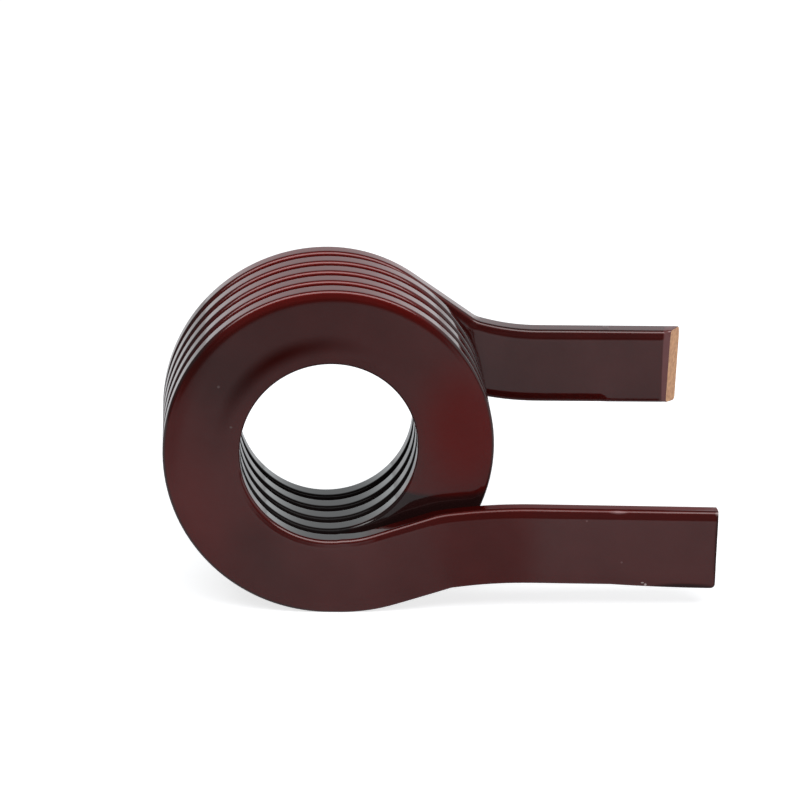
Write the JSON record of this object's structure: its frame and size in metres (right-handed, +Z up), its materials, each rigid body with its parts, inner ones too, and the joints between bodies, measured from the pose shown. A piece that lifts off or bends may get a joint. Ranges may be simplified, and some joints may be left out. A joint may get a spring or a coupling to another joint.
{
  "type": "air core coil",
  "caption": "Open helical inductor coil wound on edge from glossy dark red enamelled flat copper strip, with both leads leaving on one side",
  "frame": {"origin": "middle of the base of the whole part's box, under the coil and its leads", "axes": "+Z up, coil axis along Y with the front pass towards -Y, both leads run towards +X"},
  "size_m": [0.0716, 0.0252, 0.0428],
  "materials": {
    "enamel": "glossy transparent dark red-brown wire enamel over copper, with bare copper on the cut ends"
  },
  "bodies": {
    "root": {"flat_wire_winding": "enamel"}
  },
  "joints": []
}
